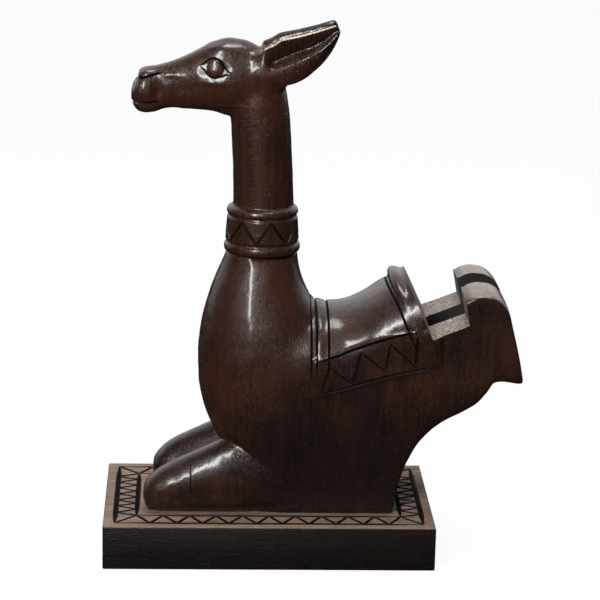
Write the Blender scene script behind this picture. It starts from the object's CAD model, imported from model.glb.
"""Looks of the carved giraffe phone stand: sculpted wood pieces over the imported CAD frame."""

import math

import bmesh
import bpy
import numpy as np
from mathutils import Matrix, Vector, noise
from mathutils.bvhtree import BVHTree


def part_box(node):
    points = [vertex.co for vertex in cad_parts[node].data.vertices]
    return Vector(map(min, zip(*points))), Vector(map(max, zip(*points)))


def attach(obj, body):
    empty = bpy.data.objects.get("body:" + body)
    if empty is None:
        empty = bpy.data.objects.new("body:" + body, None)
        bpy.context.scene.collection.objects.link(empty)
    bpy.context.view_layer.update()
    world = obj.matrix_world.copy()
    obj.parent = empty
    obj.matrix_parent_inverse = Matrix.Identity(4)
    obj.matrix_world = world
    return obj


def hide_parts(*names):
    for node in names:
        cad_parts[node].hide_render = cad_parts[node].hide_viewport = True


bl_info = {
    "name": "Carved giraffe phone stand",
    "version": (1, 0, 0),
    "blender": (4, 5, 0),
    "location": "View3D > Sidebar > Giraffe",
    "description": "Sculpted pieces, carved patterns and stained wood for a kneeling giraffe phone stand",
    "category": "Object",
}

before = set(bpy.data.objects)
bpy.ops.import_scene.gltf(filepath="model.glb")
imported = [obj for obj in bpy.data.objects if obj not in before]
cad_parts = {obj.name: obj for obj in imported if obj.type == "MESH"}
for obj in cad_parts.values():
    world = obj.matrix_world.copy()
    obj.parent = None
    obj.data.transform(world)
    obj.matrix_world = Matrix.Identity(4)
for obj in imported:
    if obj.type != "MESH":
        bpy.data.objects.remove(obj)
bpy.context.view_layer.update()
MM = 0.001
BASE_LOW, BASE_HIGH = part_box("base")
PLINTH_TOP = BASE_HIGH.z / MM
JOINT_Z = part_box("body")[1].z / MM
NECK_X = -4.4
KNEE_SEAM = -33.8

# ---- tables of the carving, in mm: the same rows as the solids, smoothed between them ----

# height over the plinth, front x, back x, half width, exponent, depth of the crease in the breast
CHEST = [(0, -15, 30, 22, 3, 0), (8, -16.5, 30, 22.8, 2.8, 0), (18, -18, 30, 23.6, 2.6, 0),
         (26, -20.8, 30, 24.6, 2.4, 1.6), (35, -25.4, 30, 25.8, 2.25, 2.8), (45, -29.2, 30, 26.5, 2.15, 3.2),
         (56, -31.2, 30, 26.9, 2.1, 3.2), (65, -31.5, 29, 26.8, 2.1, 3), (75, -30.6, 26.5, 25.8, 2.05, 2.2),
         (84, -28.8, 22, 23.9, 2, 1), (91, -26.6, 16.4, 21.6, 2, 0.3), (96, -24.8, 13.9, 19.6, 2, 0),
         (101, -22.8, 12.2, 17.6, 2, 0), (106, -20.8, 11, 15.8, 2, 0), (110, -19.3, 10.5, 14.9, 2, 0)]
# x, underside, top, how far the arch comes down, exponent of the arch
TRUNK = [(-14, 0, 58, 21, 2.15), (-6, 0, 72, 21, 2.15), (4, 0, 83, 21, 2.15), (14, 0, 86.6, 21, 2.15),
         (22, 0, 86.8, 21, 2.15), (28, 0, 87, 21, 2.15), (34, 0, 88.6, 21, 2.15), (40, 0, 91.4, 21, 2.15),
         (46, 0, 95.6, 21, 2.15), (52.4, 0, 99.4, 21, 2.15), (53.9, 7, 100.4, 21, 2.15),
         (55.9, 16.4, 101.6, 21, 2.15), (58.4, 23.6, 103, 21, 2.15), (61.6, 30.4, 104.4, 21, 2.15),
         (66.6, 36.8, 106, 20, 2.2), (70.5, 40.4, 100, 3, 4), (75, 43.4, 98, 3, 4), (79.7, 45.9, 96.4, 3, 4),
         (82.7, 47.7, 98, 3, 4), (86.4, 50.2, 98.9, 3, 4), (90.8, 55.6, 98.5, 3, 4), (93.6, 59.8, 97.3, 3, 4),
         (97.3, 60.2, 93.6, 3, 4), (98.9, 60, 90.2, 3, 4), (100.4, 59.8, 84.4, 3, 4), (102.6, 59.4, 76, 3, 4),
         (104.4, 59.3, 68, 2.6, 4), (105.4, 59.8, 62, 0.8, 3)]
# x, top over the plinth, half width
LEG = [(-53.6, 6.5, 2.2), (-53.2, 9.6, 4.2), (-52, 12.2, 6.3), (-50.2, 14.2, 7.8), (-46.3, 17.4, 9),
       (-41, 20.4, 9.5), (-33.8, 24, 9.9), (-27, 27.2, 10.2), (-19, 30.4, 10.4), (-12, 31.8, 10.1),
       (-4, 31.6, 9.3), (4, 30, 8.5), (12, 27, 7.6), (20, 22, 6.5)]
# height over the neck joint, middle x, half depth, half width
NECK = [(4, -4.4, 14, 13.4), (16, -4.3, 13, 12.4), (20, -4.1, 12.7, 12), (32, -4.5, 12.5, 11.8),
        (44, -5.1, 12.4, 11.8), (54, -5.8, 12.4, 11.6), (62, -6.6, 12.3, 11.2), (70, -7.4, 11.6, 10.4)]
# x, underside, top, half width, exponent
HEAD = [(-59.6, 64.6, 67.6, 2.6, 2), (-59.1, 62.6, 70, 4.6, 2), (-58, 60.4, 72.2, 6, 2.1),
        (-56.8, 59.2, 74, 6.8, 2.2), (-56.2, 58.9, 76.2, 7.1, 2.3), (-53.6, 58.4, 77.4, 7.5, 2.3),
        (-50, 58.8, 78, 7.5, 2.3), (-46, 60.2, 79, 7.3, 2.3), (-42, 60.6, 80.3, 7.5, 2.2),
        (-37, 60.2, 82.5, 8.4, 2.2), (-31.5, 60, 85.4, 9.6, 2.2), (-25.5, 59.4, 88.5, 10.7, 2.2),
        (-19.5, 57.6, 90, 11.1, 2.1), (-13.6, 57, 89.3, 11, 2.1), (-8, 58, 87, 10.4, 2),
        (-3, 60.4, 84, 9.2, 2), (1, 64, 80.6, 7.4, 2), (3.6, 68, 76.6, 4.6, 2)]
# ear seen from the side, as shares of its length
EAR = [(-0.05, -0.1), (-0.06, 0.03), (-0.02, 0.15), (0.08, 0.235), (0.2, 0.255), (0.32, 0.25), (0.44, 0.23),
       (0.56, 0.205), (0.7, 0.17), (0.86, 0.14), (0.97, 0.115), (1.02, 0.08), (1.02, 0), (0.96, -0.07),
       (0.86, -0.145), (0.75, -0.21), (0.63, -0.265), (0.5, -0.3), (0.36, -0.325), (0.22, -0.32),
       (0.08, -0.28), (-0.01, -0.2)]
# offset towards its open side and size of the outline there
EAR_LAYERS = [(-2.4, 0.7), (-1.9, 0.84), (-1.1, 0.93), (0, 0.985), (1.2, 1), (2.1, 1), (2.4, 0.99)]
# along the ear, as shares of its length: the rim, the bottom of the hollow, the ridge below it, the lower edge
EAR_RIM = [(0, 0.2), (0.08, 0.245), (0.19, 0.24), (0.32, 0.255), (0.55, 0.195), (0.8, 0.145), (1.02, 0.115)]
EAR_HOLLOW = [(0, 0.03), (0.2, 0.037), (0.4, 0.025), (0.59, -0.005), (0.79, -0.01), (0.95, 0.03)]
EAR_RIDGE = [(0, -0.07), (0.2, -0.101), (0.37, -0.115), (0.57, -0.11), (0.7, -0.105), (0.85, -0.07), (1, 0)]
EAR_LOW = [(0, -0.22), (0.116, -0.284), (0.37, -0.323), (0.613, -0.245), (0.855, -0.112), (1, -0.012)]
# radius and height of the turned collar
COLLAR = [(0, 0), (15.2, 0), (15.9, 0.8), (16.1, 2.1), (15.8, 3.4), (15, 4.1), (14.6, 4.45), (15, 4.8),
          (15.5, 5.2), (14.9, 14.9), (14.4, 15.3), (13.8, 15.7), (14.2, 16.1), (14.9, 16.6), (15.1, 17.6),
          (14.7, 18.8), (13.4, 19.6), (0, 19.6)]


# ---- plinth, in mm ----

PLINTH_EDGE = 0.7
SCREWS = ((4, -11.25), (33, 11.25))
# radius and height of a screw's hole
SCREW_HOLE = [(0, -1), (4, -1), (4, 2.3), (2, 4.3), (2, 30), (0, 30)]
# margin and width of the carved border, then width and depth of its strokes
BORDER_IN, BORDER_WIDTH = 5, 9
OUTER_LONG, INNER_LONG = (2.5, 1.3), (2.4, 1.3)
OUTER_SHORT, INNER_SHORT = (2.8, 1.5), (2.6, 1.4)
CORNER, TOOTH = (1.7, 1.0), (1.9, 1.2)


class GiraffeSizes(bpy.types.PropertyGroup):
    """Sizes that a carver would change"""
    grain_voxel: bpy.props.FloatProperty(
        name="Body detail", description="Spacing of the sculpted surface of the body, in mm",
        default=0.72, min=0.4, max=2)
    head_voxel: bpy.props.FloatProperty(
        name="Head detail", description="Spacing of the sculpted surface of the head and neck, in mm",
        default=0.42, min=0.3, max=2)
    groove: bpy.props.FloatProperty(
        name="Groove width", description="Width of a carved stroke, in mm", default=1.5, min=0.5, max=3)
    teeth_long: bpy.props.IntProperty(
        name="Teeth, long sides", description="Zigzag teeth along each long side of the plinth",
        default=10, min=6, max=16)
    teeth_short: bpy.props.IntProperty(
        name="Teeth, short sides", description="Zigzag teeth along each short side of the plinth",
        default=7, min=4, max=10)
    collar_teeth: bpy.props.IntProperty(
        name="Teeth, collar", description="Zigzag teeth round the collar", default=7, min=6, max=12)


class GiraffeColours(bpy.types.PropertyGroup):
    """Colours of the stained wood, linear"""
    stain: bpy.props.FloatVectorProperty(
        name="Stain", description="Colour of most of the carving", subtype="COLOR", size=3,
        default=(0.0215, 0.0078, 0.0054), min=0, max=1)
    stain_deep: bpy.props.FloatVectorProperty(
        name="Deep stain", description="Colour of the darkest grain", subtype="COLOR", size=3,
        default=(0.0052, 0.0030, 0.0025), min=0, max=1)
    stain_red: bpy.props.FloatVectorProperty(
        name="Rubbed stain", description="Colour where the polish has rubbed the stain thin",
        subtype="COLOR", size=3, default=(0.062, 0.018, 0.0090), min=0, max=1)
    plinth_stain: bpy.props.FloatVectorProperty(
        name="Plinth stain", description="Colour of the plinth board", subtype="COLOR", size=3,
        default=(0.0036, 0.0026, 0.0023), min=0, max=1)
    end_grain: bpy.props.FloatVectorProperty(
        name="End grain", description="Colour of the sawn ledges in the phone notch", subtype="COLOR", size=3,
        default=(0.11, 0.088, 0.070), min=0, max=1)
    backdrop: bpy.props.FloatVectorProperty(
        name="Backdrop", description="Colour of the floor", subtype="COLOR", size=3,
        default=(0.9, 0.9, 0.9), min=0, max=1)


# ---- mesh helpers ----

def smooth_rows(rows, steps):
    """More rows between the given ones, on a smooth curve that never overshoots them."""
    r = np.array(rows, float)
    x, y = r[:, 0], r[:, 1:]
    d = np.diff(y, axis=0) / np.diff(x)[:, None]
    both = d[:-1] * d[1:]
    safe = np.where(both > 0, d[:-1] + d[1:], 1)
    inner = np.where(both > 0, 2 * both / safe, 0)
    m = np.vstack([d[:1], inner, d[-1:]])
    out = []
    for k in range(len(x) - 1):
        h = x[k + 1] - x[k]
        for t in np.linspace(0, 1, steps, endpoint=False):
            a, b = 2 * t**3 - 3 * t**2 + 1, t**3 - 2 * t**2 + t
            c, e = -2 * t**3 + 3 * t**2, t**3 - t**2
            out.append(np.concatenate([[x[k] + t * h], a * y[k] + b * h * m[k] + c * y[k + 1] + e * h * m[k + 1]]))
    out.append(r[-1])
    return np.array(out)


def power(v, e):
    """A cosine or sine bent to a rounder or squarer oval of exponent e."""
    return np.sign(v) * np.abs(v) ** (2 / e)


def ease(t):
    """0 up to t = 0, 1 from t = 1, smooth between."""
    t = np.clip(t, 0, 1)
    return t * t * (3 - 2 * t)


def side_half(z):
    """Half the width of the flank at a height."""
    return 22.5 + 4.5 * ease((z - PLINTH_TOP) / 66)


def by(z):
    """A height over the plinth's top."""
    return PLINTH_TOP + z


def nk(z):
    """A height over the neck joint."""
    return JOINT_Z + z


def new_object(name, verts, faces):
    """A mesh object from points in mm."""
    mesh = bpy.data.meshes.new(name)
    mesh.from_pydata([tuple(v) for v in np.array(verts, float) * MM], [], faces)
    mesh.validate()
    mesh.update()
    ob = bpy.data.objects.new(name, mesh)
    bpy.context.scene.collection.objects.link(ob)
    return ob


def skin(name, rings):
    """A closed skin through rings that hold the same number of points."""
    rings = [np.array(r, float) for r in rings]
    n, m = len(rings[0]), len(rings)
    faces = [(i * n + j, i * n + (j + 1) % n, (i + 1) * n + (j + 1) % n, (i + 1) * n + j)
             for i in range(m - 1) for j in range(n)]
    faces += [tuple(range(n))[::-1], tuple(range((m - 1) * n, m * n))]
    return new_object(name, np.vstack(rings), faces)


def outward(ob):
    """Turns the faces of a closed mesh outwards."""
    bm = bmesh.new()
    bm.from_mesh(ob.data)
    bmesh.ops.recalc_face_normals(bm, faces=bm.faces)
    bm.to_mesh(ob.data)
    bm.free()
    return ob


def settle(ob):
    """Applies the modifiers of an object."""
    graph = bpy.context.evaluated_depsgraph_get()
    mesh = bpy.data.meshes.new_from_object(ob.evaluated_get(graph))
    old = ob.data
    ob.modifiers.clear()
    ob.data = mesh
    mesh.name = ob.name
    bpy.data.meshes.remove(old)
    return ob


def joined(name, parts):
    """One mesh from several overlapping closed ones."""
    verts, faces, base = [], [], 0
    for p in parts:
        co = np.zeros(len(p.data.vertices) * 3)
        p.data.vertices.foreach_get("co", co)
        verts.append(co.reshape(-1, 3) / MM)
        faces += [tuple(base + v for v in poly.vertices) for poly in p.data.polygons]
        base += len(p.data.vertices)
        bpy.data.objects.remove(p)
    return new_object(name, np.vstack(verts), faces)


def cut(ob, cutter):
    """Takes the cutter out of the object; its walls keep the cutter's material."""
    mod = ob.modifiers.new("cut", "BOOLEAN")
    mod.operation, mod.object, mod.solver = "DIFFERENCE", cutter, "MANIFOLD"
    mod.material_mode = "TRANSFER"
    settle(ob)
    if len(ob.data.polygons) < 4:
        raise RuntimeError(f"{ob.name}: the cut by {cutter.name} emptied it")
    bpy.data.objects.remove(cutter)
    return ob


def united(parts):
    """One closed solid from several that overlap."""
    whole = parts[0]
    for p in parts[1:]:
        mod = whole.modifiers.new("add", "BOOLEAN")
        mod.operation, mod.object, mod.solver = "UNION", p, "MANIFOLD"
        settle(whole)
        bpy.data.objects.remove(p)
    return whole


def sliced(ob, name, x, keep_low, side=0):
    """A closed copy of the part of an object on one side of the plane at x, and on one side of the middle."""
    bm = bmesh.new()
    bm.from_mesh(ob.data)
    bmesh.ops.bisect_plane(bm, geom=bm.verts[:] + bm.edges[:] + bm.faces[:], plane_co=(x * MM, 0, 0),
                           plane_no=(1, 0, 0), clear_outer=keep_low, clear_inner=not keep_low)
    if side:
        bmesh.ops.delete(bm, geom=[v for v in bm.verts if v.co.y * side < 0], context="VERTS")
    bmesh.ops.holes_fill(bm, edges=[e for e in bm.edges if e.is_boundary], sides=0)
    bmesh.ops.recalc_face_normals(bm, faces=bm.faces)
    mesh = bpy.data.meshes.new(name)
    bm.to_mesh(mesh)
    bm.free()
    new = bpy.data.objects.new(name, mesh)
    bpy.context.scene.collection.objects.link(new)
    return new


def voxels(ob, size):
    """One even surface over overlapping closed shapes, slightly sanded."""
    mod = ob.modifiers.new("voxels", "REMESH")
    mod.mode, mod.voxel_size, mod.adaptivity = "VOXEL", size * MM, 0
    mod.use_smooth_shade = True
    sand = ob.modifiers.new("sand", "SMOOTH")
    sand.iterations, sand.factor = 2, 0.5
    return settle(ob)


def points_of(ob):
    """Points in mm and normals of a mesh."""
    co = np.zeros(len(ob.data.vertices) * 3)
    ob.data.vertices.foreach_get("co", co)
    no = np.zeros(len(ob.data.vertices) * 3)
    ob.data.vertices.foreach_get("normal", no)
    return co.reshape(-1, 3) / MM, no.reshape(-1, 3)


def move_points(ob, co):
    """Puts the points of a mesh where co says, in mm."""
    ob.data.vertices.foreach_set("co", (co * MM).ravel())
    ob.data.update()


def sanded(ob, where, rounds):
    """Evens out part of a surface. where gives each point's share, from 0 to 1."""
    co, _ = points_of(ob)
    edges = np.zeros(len(ob.data.edges) * 2, int)
    ob.data.edges.foreach_get("vertices", edges)
    a, b = edges.reshape(-1, 2).T
    n = len(co)
    count = np.bincount(a, minlength=n) + np.bincount(b, minlength=n)
    share = where(co)[:, None] * 0.6
    for _ in range(rounds):
        total = np.stack([np.bincount(a, co[b, k], n) + np.bincount(b, co[a, k], n) for k in range(3)], 1)
        co += share * (total / count[:, None] - co)
    move_points(ob, co)


def tool_marks(ob, size, depth, keep=None):
    """The slight unevenness that a knife leaves under the polish."""
    co, normal = points_of(ob)
    push = np.array([noise.noise(Vector(c / size)) + 0.5 * noise.noise(Vector(c / size * 2.3)) for c in co])
    if keep is not None:
        push *= keep(co)
    move_points(ob, co + normal * (push * depth)[:, None])


def prism(name, outline, y0, y1):
    """An outline in x and z, run across the body from y0 to y1."""
    return outward(skin(name, [[(x, y, z) for x, z in outline] for y in (y0, y1)]))


def stroke_cutter(points, normals, width, depth, lift=0.6):
    """Rings of a gouge stroke: a V that runs along points on a surface and lifts out at both ends.

    lift is how far the cutter stands out of the surface."""
    p, nrm = np.array(points, float), np.array(normals, float)
    run = np.gradient(p, axis=0)
    run /= np.linalg.norm(run, axis=1)[:, None]
    side = np.cross(run, nrm)
    side /= np.linalg.norm(side, axis=1)[:, None]
    t = np.linspace(0, 1, len(p))
    swell = np.clip(np.minimum(t, 1 - t) * 7, 0, 1) ** 0.6 * 0.75 + 0.25
    rings = []
    for i in range(len(p)):
        w, d = width / 2 * (0.55 + 0.45 * swell[i]), depth * swell[i]
        top = p[i] + nrm[i] * lift
        spread = w * (1 + lift / depth * 0.5)
        rings.append([top + side[i] * spread, top - side[i] * spread, p[i] - nrm[i] * d])
    return rings


def surface_path(tree, points, aims, steps=9):
    """Points along strokes dropped onto a surface, with its normals. aims is one direction or one for each."""
    p = np.array(points, float)
    d = np.broadcast_to(np.array(aims, float), p.shape)
    at = np.linspace(0, len(p) - 1, max(2, steps * (len(p) - 1)))
    hits, normals = [], []
    for k in at:
        i = min(int(k), len(p) - 2)
        q = p[i] + (p[i + 1] - p[i]) * (k - i)
        aim = Vector(d[i] + (d[i + 1] - d[i]) * (k - i)).normalized()
        hit, normal, _, _ = tree.ray_cast(Vector(q * MM) - aim * 0.03, aim, 0.07)
        if hit is not None:
            hits.append(np.array(hit) / MM)
            normals.append(np.array(normal))
    return np.array(hits), np.array(normals)


def carve(ob, strokes, material, steps=9):
    """Cuts gouge strokes into an object. A stroke is its points, the way it is cut, its width and its depth."""
    tree = BVHTree.FromObject(ob, bpy.context.evaluated_depsgraph_get())
    cutters = []
    for points, aims, width, depth in strokes:
        hits, normals = surface_path(tree, points, aims, steps)
        if len(hits) < 3:
            continue
        for _ in range(3):
            normals[1:-1] = (normals[:-2] + normals[1:-1] + normals[2:]) / 3
            hits[1:-1] = (hits[:-2] + 2 * hits[1:-1] + hits[2:]) / 4
        normals /= np.linalg.norm(normals, axis=1)[:, None]
        cutters.append(outward(skin("stroke", stroke_cutter(hits, normals, width, depth))))
    cutter = united(cutters)
    cutter.data.materials.clear()
    cutter.data.materials.append(material)
    return cut(ob, cutter)


def finish_piece(ob, node, material, angle=38):
    """Shades, rides and hands a sculpted piece in for its CAD node."""
    if not ob.data.materials:
        ob.data.materials.append(material)
    else:
        ob.data.materials[0] = material
    ob.data.set_sharp_from_angle(angle=math.radians(angle))
    for poly in ob.data.polygons:
        poly.use_smooth = True
    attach(ob, "root")
    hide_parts(node)
    return ob


# ---- shader helpers ----

class Sock:
    """A socket in a material, so that sums on values read as sums."""

    def __init__(self, tree, socket):
        self.tree, self.socket = tree, socket

    def math(self, operation, *values):
        node = self.tree.nodes.new("ShaderNodeMath")
        node.operation = operation
        for i, v in enumerate((self,) + values):
            if isinstance(v, Sock):
                self.tree.links.new(v.socket, node.inputs[i])
            else:
                node.inputs[i].default_value = v
        return Sock(self.tree, node.outputs[0])

    def other(self, operation, value):
        node = self.tree.nodes.new("ShaderNodeMath")
        node.operation = operation
        node.inputs[0].default_value = value
        self.tree.links.new(self.socket, node.inputs[1])
        return Sock(self.tree, node.outputs[0])

    def __add__(self, v):
        return self.math("ADD", v)

    __radd__ = __add__

    def __sub__(self, v):
        return self.math("SUBTRACT", v)

    def __rsub__(self, v):
        return self.other("SUBTRACT", v)

    def __mul__(self, v):
        return self.math("MULTIPLY", v)

    __rmul__ = __mul__

    def clamp(self):
        node = self.tree.nodes.new("ShaderNodeClamp")
        self.tree.links.new(self.socket, node.inputs[0])
        return Sock(self.tree, node.outputs[0])

    def step(self, low, high):
        """0 below low, 1 above high, smooth between."""
        node = self.tree.nodes.new("ShaderNodeMapRange")
        node.interpolation_type = "SMOOTHSTEP"
        self.tree.links.new(self.socket, node.inputs["Value"])
        node.inputs["From Min"].default_value, node.inputs["From Max"].default_value = low, high
        return Sock(self.tree, node.outputs["Result"])


class Finish:
    """The nodes of a material or of the world, being put together."""

    def __init__(self, owner):
        self.owner = owner
        owner.use_nodes = True
        self.tree = owner.node_tree
        self.tree.nodes.clear()

    def node(self, kind, settings=None, out=0, **sockets):
        n = self.tree.nodes.new(kind)
        for k, v in (settings or {}).items():
            if k == "stops":
                ramp = n.color_ramp.elements
                while len(ramp) < len(v):
                    ramp.new(0.5)
                for e, (pos, col) in zip(ramp, v):
                    e.position, e.color = pos, tuple(col) + (1,) * (4 - len(col))
            else:
                setattr(n, k, v)
        for k, v in sockets.items():
            key = int(k[1:]) if k[0] == "_" else k.replace("_", " ")
            if isinstance(v, Sock):
                self.tree.links.new(v.socket, n.inputs[key])
            else:
                n.inputs[key].default_value = v
        return Sock(self.tree, n.outputs[out]) if n.outputs else None

    def place(self, scale, turn=(0, 0, 0), shift=(0, 0, 0)):
        """Object coordinates in mm, scaled."""
        co = self.node("ShaderNodeTexCoord", out="Object")
        return self.node("ShaderNodeMapping", Vector=co, Location=shift, Rotation=turn,
                         Scale=tuple(s / MM for s in scale))

    def noise(self, scale, detail=3, rough=0.55, shift=(0, 0, 0), warp=0.0):
        return self.node("ShaderNodeTexNoise", Vector=self.place(scale, shift=shift), Scale=1.0,
                         Detail=float(detail), Roughness=rough, Distortion=warp)

    def mix(self, factor, a, b, blend="MIX"):
        n = self.tree.nodes.new("ShaderNodeMix")
        n.data_type, n.blend_type = "RGBA", blend
        for key, v in ((0, factor), (6, a), (7, b)):
            if isinstance(v, Sock):
                self.tree.links.new(v.socket, n.inputs[key])
            else:
                n.inputs[key].default_value = tuple(v) + (1,) if key else v
        return Sock(self.tree, n.outputs[2])

    def bump(self, height, distance, strength=1.0, normal=None):
        given = {"Normal": normal} if normal else {}
        return self.node("ShaderNodeBump", Height=height, Distance=distance, Strength=strength, **given)

    def surface(self, **sockets):
        shader = self.node("ShaderNodeBsdfPrincipled", **sockets)
        self.node("ShaderNodeOutputMaterial", Surface=shader)
        return self.owner


def carved_wood(name, grain, stain, deep, rubbed, gloss=0.25, coat=0.5, lines=0.0, low=0.0, top=None, shine=0.26):
    """Stained and polished close-grained wood. grain is how dense it is along x, y and z.

    low deepens the stain low on the flank and thins it on the breast, neck and head. top is a dry colour
    for what faces up, and where that starts in x. lines raises the grain, and shine is the gloss's strength."""
    f = Finish(bpy.data.materials.new(name))
    gx, gy, gz = grain

    def grained(density, detail, rough, shift, warp=0.0):
        return f.noise((density * gx, density * gy, density * gz), detail, rough, shift, warp)

    figure = grained(0.07, 4, 0.6, (0, 0, 0), 0.5).step(0.36, 0.66)
    streak = grained(0.5, 3, 0.6, (3, 1, 4))
    fine = grained(2.1, 2, 0.5, (7, 2, 1))
    pore = grained(3.4, 1, 0.4, (5, 5, 0)).step(0.62, 0.72)
    cloud = f.noise((0.04, 0.04, 0.035), 2, 0.5, (2, 9, 5)).step(0.36, 0.76)
    fleck = f.noise((1.7, 1.7, 1.3), 3, 0.75, (1, 1, 1))
    pit = f.node("ShaderNodeTexVoronoi", Vector=f.place((1.35, 1.35, 1.0)), Scale=1.0).step(0.1, 0.5)
    base = f.mix(streak.step(0.32, 0.72), deep, stain)
    base = f.mix(figure * 0.35, base, deep)
    base = f.mix(cloud * (0.2 + streak * 0.5), base, rubbed)
    base = f.mix(fine.step(0.5, 0.8) * 0.3, base, rubbed)
    base = f.mix(fleck.step(0.6, 0.8) * 0.4, base, rubbed)
    spot = f.node("ShaderNodeTexCoord", out="Object")
    x, z = (f.node("ShaderNodeSeparateXYZ", out=axis, Vector=spot) for axis in ("X", "Z"))
    if low:
        base = f.mix(x.step(-0.024, 0.004) * (1 - z.step(0.035, 0.085)) * low, base, deep)
        base = f.mix((1 - x.step(-0.004, 0.018)) * z.step(0.05, 0.1) * (0.06 + streak * 0.42), base, rubbed)
    rough = gloss + pore * 0.25 + (fleck - 0.5) * 0.4 + (1 - pit) * 0.12 + figure * 0.06
    if top:
        colour, start = top
        up = f.node("ShaderNodeSeparateXYZ", out="Z", Vector=f.node("ShaderNodeNewGeometry", out="Normal"))
        dry = up.step(0.62, 0.93) * x.step(start, start + 0.003)
        speck = (streak * 0.6 + fleck * 0.7 + fine * lines - 0.5 * lines).step(0.42, 0.8)
        base = f.mix(dry * (0.38 + speck * 0.62), base, colour)
        rough = rough + dry * 0.12
    base = f.mix(pore * 0.8, base, [c * 0.3 for c in deep])
    height = fine * (0.3 + lines) + streak * (0.45 + lines) - pore * 0.9 + fleck * 0.8 + pit * 0.7
    return f.surface(Base_Color=base, Roughness=rough.clamp(), Normal=f.bump(height, 0.00026, 0.65),
                     Coat_Weight=coat, Coat_Roughness=0.2, IOR=1.5, Specular_IOR_Level=shine)


def rough_wood(name, low, high, gloss, depth, density=1.6, shine=0.5):
    """Wood left from the tool: gouge walls, sawn end grain, the bottom of a slot."""
    f = Finish(bpy.data.materials.new(name))
    speck = f.noise((density, density, density), 3, 0.65)
    tooth = f.noise((density * 2.6, density * 2.6, density), 1, 0.5, (4, 4, 4))
    base = f.mix((speck * 0.7 + tooth * 0.3).step(0.43, 0.59), low, high)
    height = speck + tooth * 0.6
    return f.surface(Base_Color=base, Roughness=(gloss + (speck - 0.5) * 0.5).clamp(),
                     Normal=f.bump(height, depth, 0.7), IOR=1.5, Specular_IOR_Level=shine)


def raw_wood(name):
    """Bare hardwood of the dowel, with its rings running along it."""
    f = Finish(bpy.data.materials.new(name))
    ring = f.noise((0.9, 0.9, 0.06), 3, 0.6)
    base = f.mix(ring.step(0.3, 0.7), (0.42, 0.27, 0.14), (0.62, 0.45, 0.27))
    return f.surface(Base_Color=base, Roughness=(0.6 + ring * 0.2).clamp(), Normal=f.bump(ring, 0.0001, 0.4))


def zinc(name):
    """Zinc plating of the screws."""
    f = Finish(bpy.data.materials.new(name))
    spangle = f.noise((1.5, 1.5, 1.5), 3, 0.6)
    base = f.mix(spangle, (0.42, 0.43, 0.45), (0.62, 0.62, 0.63))
    return f.surface(Base_Color=base, Roughness=(0.28 + spangle * 0.2).clamp(), Metallic=1.0,
                     Normal=f.bump(spangle, 0.00005, 0.4))


FINISHES = {}


def finishes():
    """The shared materials, made once."""
    if not FINISHES:
        c = bpy.context.scene.giraffe_colours
        stain, deep, red = list(c.stain), list(c.stain_deep), list(c.stain_red)
        board, end = list(c.plinth_stain), list(c.end_grain)
        FINISHES["carved"] = carved_wood("carved_wood", (1, 1, 0.09), stain, deep, red, low=0.75,
                                         top=([v * 2.2 for v in end], 0.0805))
        FINISHES["board"] = carved_wood("plinth_wood", (0.05, 1, 1), board, deep,
                                        [0.85 * a + 0.15 * b for a, b in zip(board, red)], 0.4, 0.0, 0.6,
                                        top=([end[0] * 2.4, end[1] * 2.0, end[2] * 1.8], -1), shine=0.26)
        FINISHES["gouged"] = rough_wood("gouged_wood", [v * 0.3 for v in deep], deep, 0.6, 0.0001, shine=0.15)
        FINISHES["traced"] = rough_wood("traced_line", [v * 0.7 for v in deep], [v * 0.6 for v in stain], 0.42,
                                        0.0001, shine=0.35)
        FINISHES["end_grain"] = rough_wood("end_grain", deep, [v * 3.6 for v in end], 0.42, 0.0007, 1.0, 0.45)
        FINISHES["rim"] = rough_wood("worn_rim", [v * 2 for v in end], [v * 5 for v in end], 0.3, 0.0001)
        FINISHES["slot"] = rough_wood("slot_wood", [v * 0.6 for v in deep], [v * 1.6 for v in deep], 0.7, 0.0002)
        FINISHES["raw"] = raw_wood("dowel_wood")
        FINISHES["zinc"] = zinc("screw_zinc")
    return FINISHES


# ---- pieces ----

def leg_skin(side, back, out):
    """A folded front leg with its knee, which may lie further back and further out."""
    rings = []
    t = np.linspace(0, 2 * np.pi, 72, endpoint=False)
    c, s = np.cos(t), np.sin(t)
    for x0, top, w in smooth_rows(LEG, 6):
        x = x0 + back * min(1, max(0, (-x0 - 12) / 40))
        low = PLINTH_TOP + 5.2 * min(1, max(0, (-x0 - 51) / 2.6)) ** 2
        high = by(top)
        mid = low + (high - low) * 0.42
        e = np.where(s > 0, 2.2, 4.5)
        up = power(s, e)
        ww = np.where(s > 0, w, w + 1.2 * up)
        y = side * (15 + out * min(1, max(0, (-x0 - 8) / 34))) + ww * power(c, e)
        z = mid + up * np.where(s > 0, high - mid, mid - low)
        rings.append(np.stack([np.full_like(y, x), y, z], 1))
    return outward(skin("leg", rings))


def turned(name, rows, x, y, z, n, flat=1.0):
    """A turned solid from rows of radius and height over z; flat narrows it across."""
    a = 2 * np.pi * np.arange(n) / n
    return outward(skin(name, [np.stack([x + max(r, 0.001) * np.cos(a), y + flat * max(r, 0.001) * np.sin(a),
                                         np.full(n, z + h)], 1) for r, h in rows]))


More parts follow.
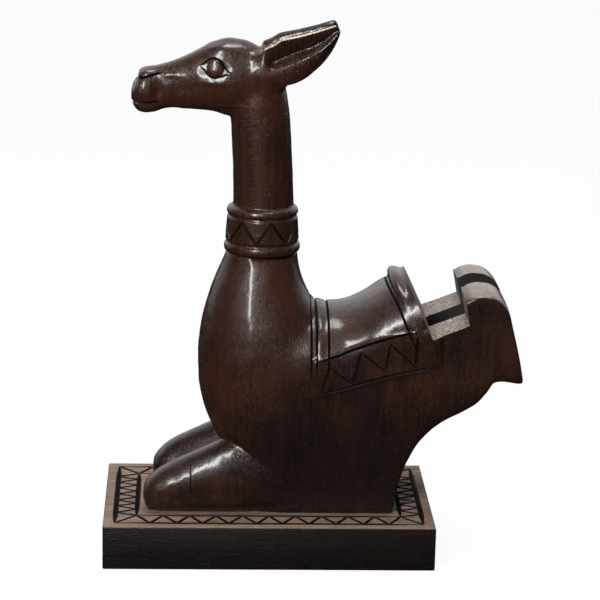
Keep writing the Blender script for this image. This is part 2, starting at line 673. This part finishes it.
class GIRAFFE_OT_plinth(bpy.types.Operator):
    """Builds the plinth board with its carved zigzag border"""
    bl_idname = "giraffe.plinth"
    bl_label = "Plinth"

    def execute(self, context):
        s = context.scene.giraffe_sizes
        lx, ly, lz = BASE_LOW / MM
        hx, hy, hz = BASE_HIGH / MM
        board = new_object("plinth_board", [
            (lx, ly, lz), (hx, ly, lz), (hx, hy, lz), (lx, hy, lz),
            (lx, ly, hz), (hx, ly, hz), (hx, hy, hz), (lx, hy, hz)],
            [(3, 2, 1, 0), (4, 5, 6, 7), (0, 1, 5, 4), (1, 2, 6, 5), (2, 3, 7, 6), (3, 0, 4, 7)])
        edge = board.modifiers.new("edge", "BEVEL")
        edge.width, edge.segments, edge.limit_method = PLINTH_EDGE * MM, 3, "NONE"
        settle(board)
        for x, y in SCREWS:
            cut(board, turned("screw_hole", SCREW_HOLE, x, y, 0, 32))
        ox, oy = hx - BORDER_IN, hy - BORDER_IN
        ix, iy = ox - BORDER_WIDTH, oy - BORDER_WIDTH
        rng = np.random.default_rng(7)
        strokes = []

        def line(a, b, size):
            strokes.append(([(a[0], a[1], hz), (b[0], b[1], hz)], (0, 0, -1), *size))

        for q in (-1, 1):
            line((-ox, q * oy), (ox, q * oy), OUTER_LONG)
            line((-ix, q * iy), (ix, q * iy), INNER_LONG)
        for q in (-1, 1):
            line((q * ox, -oy), (q * ox, oy), OUTER_SHORT)
            line((q * ix, -iy), (q * ix, iy), INNER_SHORT)
            for r in (-1, 1):
                line((q * ix, r * iy), (q * ox, r * oy), CORNER)
        for q in (-1, 1):
            for teeth, run, inner, outer, waver, turn in (
                    (s.teeth_long, ix, iy, oy, 0.5, 1), (s.teeth_short, iy, ix, ox, 0.4, -1)):
                step = 2 * run / teeth
                for i in range(teeth):
                    start = -run + step * i
                    peak = start + step / 2 + rng.uniform(-waver, waver, 2)[0]
                    a, b, c = ((u, q * v)[::turn] for u, v in
                               ((start, inner), (peak, outer), (start + step, inner)))
                    line(a, b, TOOTH)
                    line(b, c, TOOTH)
        f = finishes()
        board.data.materials.append(f["board"])
        carve(board, strokes, f["gouged"], 8)
        finish_piece(board, "base", f["board"], 30)
        return {"FINISHED"}


def trunk_skin(grow=0.0):
    """The trunk from the breast to the prongs; grow makes it thicker for the raised band."""
    rings = []
    for x, under, top, drop, e in smooth_rows(TRUNK, 5):
        zb, zt = by(under), by(top) + grow
        zs = zt - drop
        q = min(2.6, 0.4 * (zt - zb)) if under > 0 else 0.01
        hs = min(1, 0.94 + x / 60)
        zs = max(zs, zb + q + 0.1)
        z1 = np.linspace(zb + q, zs, 16)
        t = np.radians(np.linspace(0, 90, 29)[1:])
        yb = side_half(zb) * hs
        half = np.vstack([[(0, zb), (yb - q, zb), (yb - 0.62 * q, zb + 0.08 * q), (yb - 0.3 * q, zb + 0.3 * q),
                           (yb - 0.08 * q, zb + 0.62 * q)],
                          np.stack([side_half(z1) * hs + grow, z1], 1),
                          np.stack([(side_half(zs) * hs + grow) * power(np.cos(t), e),
                                    zs + (zt - zs) * power(np.sin(t), e)], 1)])
        half[-1, 0] = 0
        other = half[-2:0:-1] * [-1, 1]
        ring = np.vstack([half, other])
        rings.append(np.stack([np.full(len(ring), x), ring[:, 0], ring[:, 1]], 1))
    return outward(skin("trunk", rings))


def chest_skin():
    """The breast, creased down the middle of its front, up to the neck."""
    t = np.linspace(0, 2 * np.pi, 180, endpoint=False)
    c, s = np.cos(t), np.sin(t)
    rings = []
    for z, x0, x1, w, e, dent in smooth_rows(CHEST, 6):
        y = w * power(s, e)
        x = x0 + (x1 - x0) * (0.5 + 0.5 * power(c, e))
        x = x + np.where(c < 0, dent * np.exp(-(y / 3.2) ** 2), 0)
        rings.append(np.stack([x, y, np.full_like(x, by(z))], 1))
    return outward(skin("chest", rings))


def roll_skin(x, top, half, r, lean):
    """A roll along an edge of the blanket: its place, height, half width and radius, and how it leans."""
    n, m = 72, 20
    t = np.radians(-14 + 208 * np.arange(n + 1) / n)
    c, u = np.cos(t), np.sin(t)
    path = np.stack([half * power(c, 2.15) - np.where(u < 0, np.sign(c) * 2 * u * u, 0),
                     np.where(u < 0, 26 * u, 21 * power(np.maximum(u, 0), 2.15))], 1)
    d = np.gradient(path, axis=0)
    d /= np.linalg.norm(d, axis=1)[:, None]
    rings = []
    for i in range(n + 1):
        a = 2 * np.pi * np.arange(m) / m
        off = r * np.cos(a)
        q = path[i] + np.outer(r * np.sin(a), (-d[i, 1], d[i, 0]))
        rings.append(np.stack([x - (q[:, 1] - 21) * math.tan(math.radians(lean)) + off, q[:, 0],
                               top - 21 + q[:, 1]], 1))
    return outward(skin("roll", rings))


# the notch: where the ledges start, tilt of the rest face and slope of the ledges in degrees, length of the ledges
LEDGE = (66.8, 98.0)
REST_TILT, LEDGE_SLOPE, GAP = 25, 22, 16.4
# the cable slot: half its width, and how deep it goes below the ledges
SLOT_HALF, SLOT_DEEP = 7.5, 13


def notch_cutter():
    """The space over the ledges, between the rest face and the prongs."""
    a = np.array(LEDGE)
    t, u = math.radians(REST_TILT), math.radians(LEDGE_SLOPE)
    b = a + np.array([math.cos(u), math.sin(u)]) * GAP
    face = a + np.array([-math.sin(t), math.cos(t)]) * 64
    return prism("notch", [tuple(a), tuple(b), (b[0] - 2.5, b[1] + 12.5), (b[0] - 5, b[1] + 60), tuple(face)],
                 -80, 80)


def slot_cutter():
    """The cable slot through the ledges and between the prongs."""
    x, z0 = LEDGE[0], LEDGE[1] - SLOT_DEEP
    return prism("slot", [(x, 98.5), (x + 0.6, z0 + 3), (x + 3.6, z0), (x + 60, z0 - 1.5), (x + 60, z0 + 80),
                          (x, z0 + 80)], -SLOT_HALF, SLOT_HALF)


# band below the saddle, in x and height over the plinth
BAND = [(17.2, 53), (17.2, 69.4), (24, 71.4), (31, 74), (39, 77), (47, 79.8), (56, 81.6), (70, 82.4),
        (70, 68), (60, 65.4), (49, 62.2), (34, 57.6)]
# grooves along the band's upper and lower edge, and the zigzag between: steep strokes deep, the others light
BAND_TOP = [(19.6, 69), (26.2, 71.1), (32.4, 73.8), (38.6, 76.1), (44.8, 78.5), (51, 80.3), (60.5, 82.2)]
BAND_LOW = [(19.6, 54.4), (28.8, 56.8), (37.1, 59.4), (45.4, 62.1), (53.7, 64.1), (62.1, 65.7), (67.5, 67)]
ZIGZAG = [(21, 56.1), (24.1, 66.6), (33.7, 59.7), (37.1, 73.3), (47.4, 65.1), (49.1, 77.1), (59.9, 67),
          (60.4, 80)]


# place, height, half width, radius and lean of the rolls along the edges of the blanket
ROLLS = ((53.2, by(98.8), 24.6, 3.6, REST_TILT), (20.2, by(84.8), 24.9, 3, 0))
# place, height over the plinth and lean of the grooves that run over the saddle
ARCHES = ((16.4, 86.8, 0), (18.7, 87.6, 0), (23.7, 86.8, 0), (48.6, 99, REST_TILT))
# side and node of each knee, and how far it lies back and out
KNEES = ((-1, "knee_left", 0, 0), (1, "knee_right", 3.6, 4))


def arch_path(x, top, half, lean, n=24):
    """Points and inward directions along a line over the saddle."""
    t = np.radians(np.linspace(-8, 188, n))
    c, u = np.cos(t), np.sin(t)
    y = half * power(c, 2.15) - np.where(u < 0, np.sign(c) * 2 * u * u, 0)
    z = np.where(u < 0, 26 * u, 21 * power(np.maximum(u, 0), 2.15))
    run = np.gradient(np.stack([y, z], 1), axis=0)
    run /= np.linalg.norm(run, axis=1)[:, None]
    points = np.stack([x - (z - 21) * math.tan(math.radians(lean)), y, top - 21 + z], 1)
    return points, np.stack([np.zeros(n), -run[:, 1], run[:, 0]], 1)


def shoulder(co):
    """Where the breast runs into the trunk in one soft curve."""
    x, y, z = np.abs(co[:, 0] - 3) / 13, np.abs(co[:, 1]), co[:, 2]
    return ease((1 - x) * 2.5) * ease((y - 6) / 5) * ease((z - by(37)) / 12)


def flank(side, rows):
    """Points beside the trunk from rows of x and height over the plinth."""
    return [(x, side * 26, by(z)) for x, z in rows]


class GIRAFFE_OT_body(bpy.types.Operator):
    """Builds the trunk with its saddle blanket, phone notch, cable slot and prongs, and the two knees"""
    bl_idname = "giraffe.body"
    bl_label = "Body and knees"

    def execute(self, context):
        s = context.scene.giraffe_sizes
        f = finishes()
        band = prism("band", [(x, by(z)) for x, z in BAND], -60, 60)
        mod = band.modifiers.new("clip", "BOOLEAN")
        mod.operation, mod.object, mod.solver = "INTERSECT", trunk_skin(0.9), "MANIFOLD"
        shell = mod.object
        settle(band)
        bpy.data.objects.remove(shell)
        parts = [trunk_skin(), band, chest_skin(), *(roll_skin(*row) for row in ROLLS),
                 *(leg_skin(side, back, out) for side, _, back, out in KNEES)]
        whole = voxels(joined("carving", parts), s.grain_voxel)
        sanded(whole, shoulder, 90)
        tool_marks(whole, 9, 0.16, lambda co: ease((co[:, 2] - PLINTH_TOP - 0.5) / 4) * (co[:, 0] < 62))
        for side, node, _, _ in KNEES:
            knee = sliced(whole, node + "_block", KNEE_SEAM, True, side)
            finish_piece(knee, node, f["carved"])
        body = sliced(whole, "trunk_carving", KNEE_SEAM, False)
        bpy.data.objects.remove(whole)
        body.data.materials.append(f["carved"])
        for cutter, finish in ((notch_cutter(), "end_grain"), (slot_cutter(), "slot")):
            cutter.data.materials.append(f[finish])
            cut(body, cutter)
        strokes, edges = [], []
        for side in (-1, 1):
            aim = (0, -side, 0)
            for i, ends in enumerate(zip(ZIGZAG[:-1], ZIGZAG[1:])):
                width, depth = (s.groove, 0.85) if i % 2 == 0 else (1.1, 0.4)
                strokes.append((flank(side, ends), aim, width, depth))
            edges.append((flank(side, BAND_TOP), aim, 1.7, 1.1))
            edges.append((flank(side, BAND_LOW), aim, 1.9, 1.1))
        carve(body, strokes, f["traced"])
        for x, top, lean in ARCHES:
            edges.append((*arch_path(x, by(top), 25.6, lean), 1.3, 0.8))
        carve(body, edges, f["gouged"], 4)
        carve(body, [([(KNEE_SEAM + 0.4, -27, by(21)), (KNEE_SEAM + 0.5, -27, by(8))], (0, 1, 0), 0.6, 0.5)],
              f["traced"])
        finish_piece(body, "body", f["carved"])
        return {"FINISHED"}


def neck_skin():
    """The neck, from inside the collar up into the head."""
    t = np.linspace(0, 2 * np.pi, 144, endpoint=False)
    rings = [np.stack([mid + a * np.cos(t), b * np.sin(t), np.full_like(t, nk(z))], 1)
             for z, mid, a, b in smooth_rows(NECK, 6)]
    return outward(skin("neck", rings))


def head_skin():
    """The head before its face is worked."""
    t = np.linspace(0, 2 * np.pi, 120, endpoint=False)
    c, s = np.cos(t), np.sin(t)
    rings = []
    for x, low, high, w, e in smooth_rows(HEAD, 8):
        ee = np.where(s > 0, e, e + 0.2)
        up = power(s, ee)
        mid = (low + high) / 2
        ww = np.where(s > 0, w, w * (1 + 0.06 * up))
        rings.append(np.stack([np.full_like(t, x), ww * power(c, ee), nk(mid + up * (high - low) / 2)], 1))
    return outward(skin("head", rings))


def ear_frame(side):
    """Places an ear: its own x runs to the tip, y up across it, z out of its open side."""
    inner = Matrix.Rotation(math.radians(6), 4, "Y") @ Matrix.Rotation(math.radians(-7), 4, "X")
    flip = Matrix.Scale(-1, 4, (0, 0, 1)) if side > 0 else Matrix.Identity(4)
    turn = Matrix.Rotation(math.radians(-26.5), 4, "Y") @ Matrix.Rotation(math.radians(90), 4, "X")
    return Matrix.Translation((-4, side * 9.2, nk(79))) @ turn @ flip @ inner


EAR_LENGTH = 33.0


def ear_skin(side):
    """An ear before its hollow is cut: its outline, smoothed, in layers through its thickness."""
    place = ear_frame(side)
    outline, n = np.array(EAR), len(EAR)
    dense = []
    for i in range(n):
        p0, p1, p2, p3 = (outline[(i + k) % n] for k in (-1, 0, 1, 2))
        for t in (0, 1 / 3, 2 / 3):
            dense.append(0.5 * (2 * p1 + (p2 - p0) * t + (2 * p0 - 5 * p1 + 4 * p2 - p3) * t * t
                                + (3 * p1 - p0 - 3 * p2 + p3) * t**3))
    middle = np.array([0.44, -0.03])
    rings = [[tuple(place @ Vector((x, y, z)))
              for x, y in (middle + (np.array(dense) - middle) * k) * EAR_LENGTH] for z, k in EAR_LAYERS]
    return outward(skin("ear", rings))


def temple(side):
    """The swelling of the head that an ear grows from."""
    t = np.linspace(0, 2 * np.pi, 48, endpoint=False)
    rings = [np.stack([-5 + 11.5 * math.cos(a) + 0 * t, side * 5.2 + 6.3 * math.sin(a) * np.cos(t),
                       nk(76.3) + 9.6 * math.sin(a) * np.sin(t)], 1)
             for a in np.radians(np.linspace(178, 2, 28))]
    return outward(skin("temple", rings))


def along(rows, u):
    """The value of a table's second column at u."""
    r = np.array(rows)
    return np.interp(u, r[:, 0], r[:, 1])


def hollow_ears(ob):
    """Works the hollow, the ridge and the rounded lower edge into the open side of each ear."""
    co, _ = points_of(ob)
    for side in (-1, 1):
        place = ear_frame(side)
        back = np.array(place.inverted())
        q = co @ back[:3, :3].T + back[:3, 3]
        u, v, w = q[:, 0] / EAR_LENGTH, q[:, 1] / EAR_LENGTH, q[:, 2]
        rim, low = along(EAR_RIM, u) - 0.03, along(EAR_LOW, u)
        pit, ridge = along(EAR_HOLLOW, u), along(EAR_RIDGE, u)
        depth = 3.5 * ease(u / 0.12 + 0.1) * (1 - 0.7 * ease((u - 0.5) / 0.5))
        upper = np.clip((rim - v) / (rim - pit), 0, 1) ** 1.6
        lower = ease((v - ridge) / (pit - ridge))
        down = np.where(v > pit, upper, lower) * depth
        down += np.where(v < ridge, 1.7 * np.clip((ridge - v) / (ridge - low), 0, 1) ** 2, 0)
        near = ease((w + 0.9) / 2.6) * ease((u + 0.04) / 0.08) * (u < 1.1) * (np.abs(w) < 4) \
            * (v > low - 0.1) * (v < rim + 0.1)
        co += (near * down)[:, None] * -np.array(place.col[2])[:3]
    move_points(ob, co)


def ear_root(co):
    """Where the ears grow out of the temples, and the jaw runs into the neck."""
    x, y, h = co[:, 0], np.abs(co[:, 1]), co[:, 2] - JOINT_Z
    root = ease((x + 17) / 5) * ease((1.5 - x) / 4) * ease((y - 5) / 3) * ease((h - 62) / 5) * ease((88 - h) / 4)
    jaw = ease((x + 20) / 4) * ease((4 - x) / 4) * ease((h - 50) / 4) * ease((66 - h) / 5)
    return np.maximum(root, jaw)


def rim_cutter(side):
    """Trims the upper edge of an ear to a flat rim."""
    line = [(u, along(EAR_RIM, u) - 0.012) for u in np.linspace(0.1, 1.04, 24)]
    outline = line + [(1.15, line[-1][1]), (1.15, 0.5), (0.02, 0.5), (0.04, along(EAR_RIM, 0.1) + 0.03)]
    place = ear_frame(side)
    return outward(skin("rim", [[tuple(place @ Vector((u * EAR_LENGTH, v * EAR_LENGTH, w))) for u, v in outline]
                                for w in (-3.6, 3.6)]))


def rim_bevel(side):
    """Takes a thin bevel off the open side of that rim."""
    place = ear_frame(side)
    rings = []
    for u in np.linspace(0.07, 1.0, 24):
        v = (along(EAR_RIM, u) - 0.012) * EAR_LENGTH
        rings.append([tuple(place @ Vector((u * EAR_LENGTH, v + a, w)))
                      for a, w in ((-0.85, 2.6), (-0.85, 4.5), (2.5, 4.5), (2.5, 1.45), (0.3, 1.45))])
    return outward(skin("bevel", rings))


def bulge(x, h, x0, h0, rx, rh, e=1.0):
    """A soft oval mound of height 1 round x0, h0; a higher e gives it a flatter top."""
    return np.exp(-(((x - x0) / rx) ** 2 + ((h - h0) / rh) ** 2) ** e)


def sculpt_face(ob):
    """Works the eyes, brows, nose, lips and cheeks, the same on both sides."""
    co, normal = points_of(ob)
    x, h = co[:, 0], co[:, 2] - JOINT_Z
    flank = ease((np.abs(normal[:, 1]) - 0.25) / 0.4) * (h > 56) * (x < 2)
    r = np.hypot(x + 25.3, h - 78.8)
    push = -0.8 * bulge(x, h, -25.2, 78.3, 5.8, 3.5, 2.0)
    push += 1.0 * np.sqrt(np.clip(1 - (r / 3.4) ** 2, 0, 1))
    push += 0.8 * bulge(x, h, -22.5, 86.2, 6, 2.4)
    push += 0.4 * bulge(x, h, -25.5, 72.8, 6.5, 1.4)
    push += 0.9 * bulge(x, h, -54.2, 68.6, 3.9, 4.4, 1.5)
    push -= 1.2 * bulge(x, h, -48.6, 69, 1.9, 4.2)
    push += 0.7 * bulge(x, h, -52, 60.9, 4, 1.3)
    push += 0.6 * bulge(x, h, -53.8, 75.9, 3, 1.5)
    push += 0.5 * bulge(x, h, -43.5, 75.3, 4.5, 1.2)
    push -= 0.5 * bulge(x, h, -36, 70, 5, 4)
    push += 0.5 * bulge(x, h, -17, 72, 7, 7)
    push += 0.35 * bulge(x, h, -20, 62.9, 8, 0.8)
    co += normal * (push * flank)[:, None]
    move_points(ob, co)


# grooves of the face, in x and height over the joint: points, width, depth
FACE = [([(-31.6, 79.8), (-29.6, 80.4), (-28.5, 81.7), (-26.9, 82.7), (-25, 82.9), (-23.1, 82), (-21.9, 80.2),
          (-20.5, 78.2), (-18.4, 76.7)], 1.2, 0.9),
        ([(-31.4, 79.4), (-29.5, 78), (-28.6, 76.5), (-27.1, 75.2), (-25.2, 74.8), (-23.3, 75.4), (-21.5, 76.1),
          (-18.6, 76.5)], 1.1, 0.8),
        ([(-57.2, 73.2), (-54.6, 73.8), (-52, 74.6), (-49.5, 75.4), (-47, 75.9)], 1.6, 1.0),
        ([(-58, 63.5), (-56, 63.1), (-53.5, 63.1), (-51, 63.4), (-48.4, 64.3)], 1.8, 1.4)]


# the same across the front: height over the joint, points across, width, depth
FRONT = [(63.4, (-5, -2, 2, 5), 1.8, 1.4), (73.2, (-6, -2, 2, 6), 1.8, 1.0)]
# the zigzag round the collar: angle of its first tip, height of its tips and feet over the joint
FIRST_TOOTH, TOOTH_HEIGHTS = -75, (14.6, 5.3)


class GIRAFFE_OT_head(bpy.types.Operator):
    """Builds the neck with its collar, the head and the ears"""
    bl_idname = "giraffe.head"
    bl_label = "Neck and head"

    def execute(self, context):
        s = context.scene.giraffe_sizes
        f = finishes()
        parts = [neck_skin(), head_skin(), turned("collar", COLLAR, NECK_X, 0, JOINT_Z, 144, 0.96),
                 ear_skin(-1), ear_skin(1), temple(-1), temple(1)]
        head = voxels(joined("head_carving", parts), s.head_voxel)
        sanded(head, ear_root, 50)
        sculpt_face(head)
        hollow_ears(head)
        tool_marks(head, 5, 0.1)
        head.data.materials.append(f["carved"])
        for side in (-1, 1):
            for cutter, finish in ((rim_cutter(side), "traced"), (rim_bevel(side), "rim")):
                cutter.data.materials.append(f[finish])
                cut(head, cutter)
        strokes = [([(x, side * 7, nk(h)) for x, h in points], (0, -side, 0), width, depth)
                   for points, width, depth in FACE for side in (-1, 1)]
        strokes += [([(-62, y, nk(h)) for y in across], (1, 0, 0), width, depth)
                    for h, across, width, depth in FRONT]
        step = 2 * math.pi / s.collar_teeth
        rng = np.random.default_rng(3)
        for i in range(s.collar_teeth):
            top = math.radians(FIRST_TOOTH) + i * step
            for q in (-1, 1):
                a = np.linspace(top, top + q * step / 2, 4) + rng.uniform(-0.03, 0.03)
                points = [(NECK_X + 20 * math.cos(t), 20 * math.sin(t), nk(z))
                          for t, z in zip(a, np.linspace(*TOOTH_HEIGHTS, 4))]
                aims = [(-math.cos(t), -math.sin(t), 0) for t in a]
                strokes.append((points, aims, s.groove, 0.8))
        carve(head, strokes, f["traced"], 5)
        finish_piece(head, "neck_head", f["carved"])
        return {"FINISHED"}


class GIRAFFE_OT_joinery(bpy.types.Operator):
    """Gives the hidden dowel and the screws their materials"""
    bl_idname = "giraffe.joinery"
    bl_label = "Dowel and screws"

    def execute(self, context):
        f = finishes()
        for node, finish in (("neck_dowel", "raw"), ("base_screws", "zinc")):
            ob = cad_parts[node]
            ob.data.materials.clear()
            ob.data.materials.append(f[finish])
        return {"FINISHED"}


# ---- stage, in metres and degrees ----

# name, place, aim, width and height, watts
LAMPS = (("key_softbox", (-0.36, -0.93, 0.68), (0, 0, 0.1), (0.11, 0.75), 16),
         ("top_softbox", (0.1, 0.1, 1.15), (0.02, 0, 0.08), (0.5, 0.3), 9))
# the camera's place, its pitch, yaw and roll, and its lens
CAMERA_AT = (-0.035, -0.977, 0.380)
CAMERA_TURN = (15.59, 2.77, -1.35)
IMAGE_PIXELS, FOCAL_PIXELS, SENSOR = 600, 2389, 36


class GIRAFFE_OT_stage(bpy.types.Operator):
    """Sets up the floor, the lamps, the world and the camera"""
    bl_idname = "giraffe.stage"
    bl_label = "Stage"

    def execute(self, context):
        scene = context.scene
        colours = scene.giraffe_colours
        floor = new_object("floor", [(-3000, -3000, 0), (3000, -3000, 0), (3000, 3000, 0), (-3000, 3000, 0)],
                           [(0, 1, 2, 3)])
        m = Finish(bpy.data.materials.new("floor_paper"))
        path = m.node("ShaderNodeLightPath", out="Is Camera Ray")
        glossy = m.node("ShaderNodeLightPath", out="Is Glossy Ray")
        tone = m.mix(path, m.mix(glossy, (0.12, 0.12, 0.12), (0.02, 0.02, 0.02)), list(colours.backdrop))
        paper = m.node("ShaderNodeBsdfDiffuse", Color=tone)
        white = m.node("ShaderNodeEmission", Color=(1, 1, 1, 1), Strength=1.0)
        seen = path * 0.95
        mixed = m.node("ShaderNodeMixShader", _0=seen, _1=paper, _2=white)
        m.node("ShaderNodeOutputMaterial", Surface=mixed)
        floor.data.materials.append(m.owner)

        w = Finish(bpy.data.worlds.new("studio"))
        way = w.node("ShaderNodeSeparateXYZ", Vector=w.node("ShaderNodeTexCoord", out="Generated"), out="Y")
        ray = w.node("ShaderNodeLightPath", out="Is Camera Ray")
        gloss = w.node("ShaderNodeLightPath", out="Is Glossy Ray")
        behind = way.step(0.15, 0.8)
        level = (ray + (1 - ray) * (gloss * (0.01 + behind * 0.95) + (1 - gloss) * 0.12)).clamp()
        shade = w.node("ShaderNodeBackground", Color=(1, 1, 1, 1), Strength=level)
        w.node("ShaderNodeOutputWorld", Surface=shade)
        scene.world = w.owner

        for name, at, aim, size, watts in LAMPS:
            lamp = bpy.data.lights.new(name, "AREA")
            lamp.shape, lamp.size, lamp.size_y = "RECTANGLE", size[0], size[1]
            lamp.energy = watts
            ob = bpy.data.objects.new(name, lamp)
            scene.collection.objects.link(ob)
            ob.location = at
            ob.rotation_euler = (Vector(aim) - Vector(at)).to_track_quat("-Z", "Y").to_euler()

        cam = bpy.data.cameras.new("camera")
        ob = bpy.data.objects.new("camera", cam)
        scene.collection.objects.link(ob)
        pitch, yaw, roll = (math.radians(a) for a in CAMERA_TURN)
        turn = (Matrix(((math.cos(roll), 0, -math.sin(roll)), (0, 1, 0), (math.sin(roll), 0, math.cos(roll))))
                @ Matrix(((1, 0, 0), (0, math.cos(pitch), -math.sin(pitch)), (0, math.sin(pitch), math.cos(pitch))))
                @ Matrix(((math.cos(yaw), -math.sin(yaw), 0), (math.sin(yaw), math.cos(yaw), 0), (0, 0, 1))))
        right, ahead, up = turn
        pose = Matrix((right, up, -ahead)).transposed().to_4x4()
        pose.translation = Vector(CAMERA_AT)
        ob.matrix_world = pose
        cam.sensor_width, cam.lens = SENSOR, FOCAL_PIXELS / IMAGE_PIXELS * SENSOR
        cam.clip_start, cam.clip_end = 0.05, 20
        scene.camera = ob
        scene.view_settings.view_transform = "Standard"
        return {"FINISHED"}


class GIRAFFE_PT_panel(bpy.types.Panel):
    """Lists the pieces of the carving"""
    bl_idname = "GIRAFFE_PT_panel"
    bl_label = "Carved giraffe"
    bl_space_type = "VIEW_3D"
    bl_region_type = "UI"
    bl_category = "Giraffe"

    def draw(self, context):
        for group in (context.scene.giraffe_sizes, context.scene.giraffe_colours):
            for name in group.bl_rna.properties.keys():
                if name not in {"rna_type", "name"}:
                    self.layout.prop(group, name)
        for op in OPERATORS:
            self.layout.operator(op.bl_idname)


OPERATORS = (GIRAFFE_OT_plinth, GIRAFFE_OT_body, GIRAFFE_OT_head, GIRAFFE_OT_joinery,
             GIRAFFE_OT_stage)
CLASSES = (GiraffeSizes, GiraffeColours) + OPERATORS + (GIRAFFE_PT_panel,)


def register():
    for c in CLASSES:
        bpy.utils.register_class(c)
    bpy.types.Scene.giraffe_sizes = bpy.props.PointerProperty(type=GiraffeSizes)
    bpy.types.Scene.giraffe_colours = bpy.props.PointerProperty(type=GiraffeColours)


def unregister():
    del bpy.types.Scene.giraffe_sizes, bpy.types.Scene.giraffe_colours
    for c in reversed(CLASSES):
        bpy.utils.unregister_class(c)


def main():
    register()
    for op in OPERATORS:
        group, name = op.bl_idname.split(".")
        getattr(getattr(bpy.ops, group), name)()


if __name__ == "__main__":
    main()
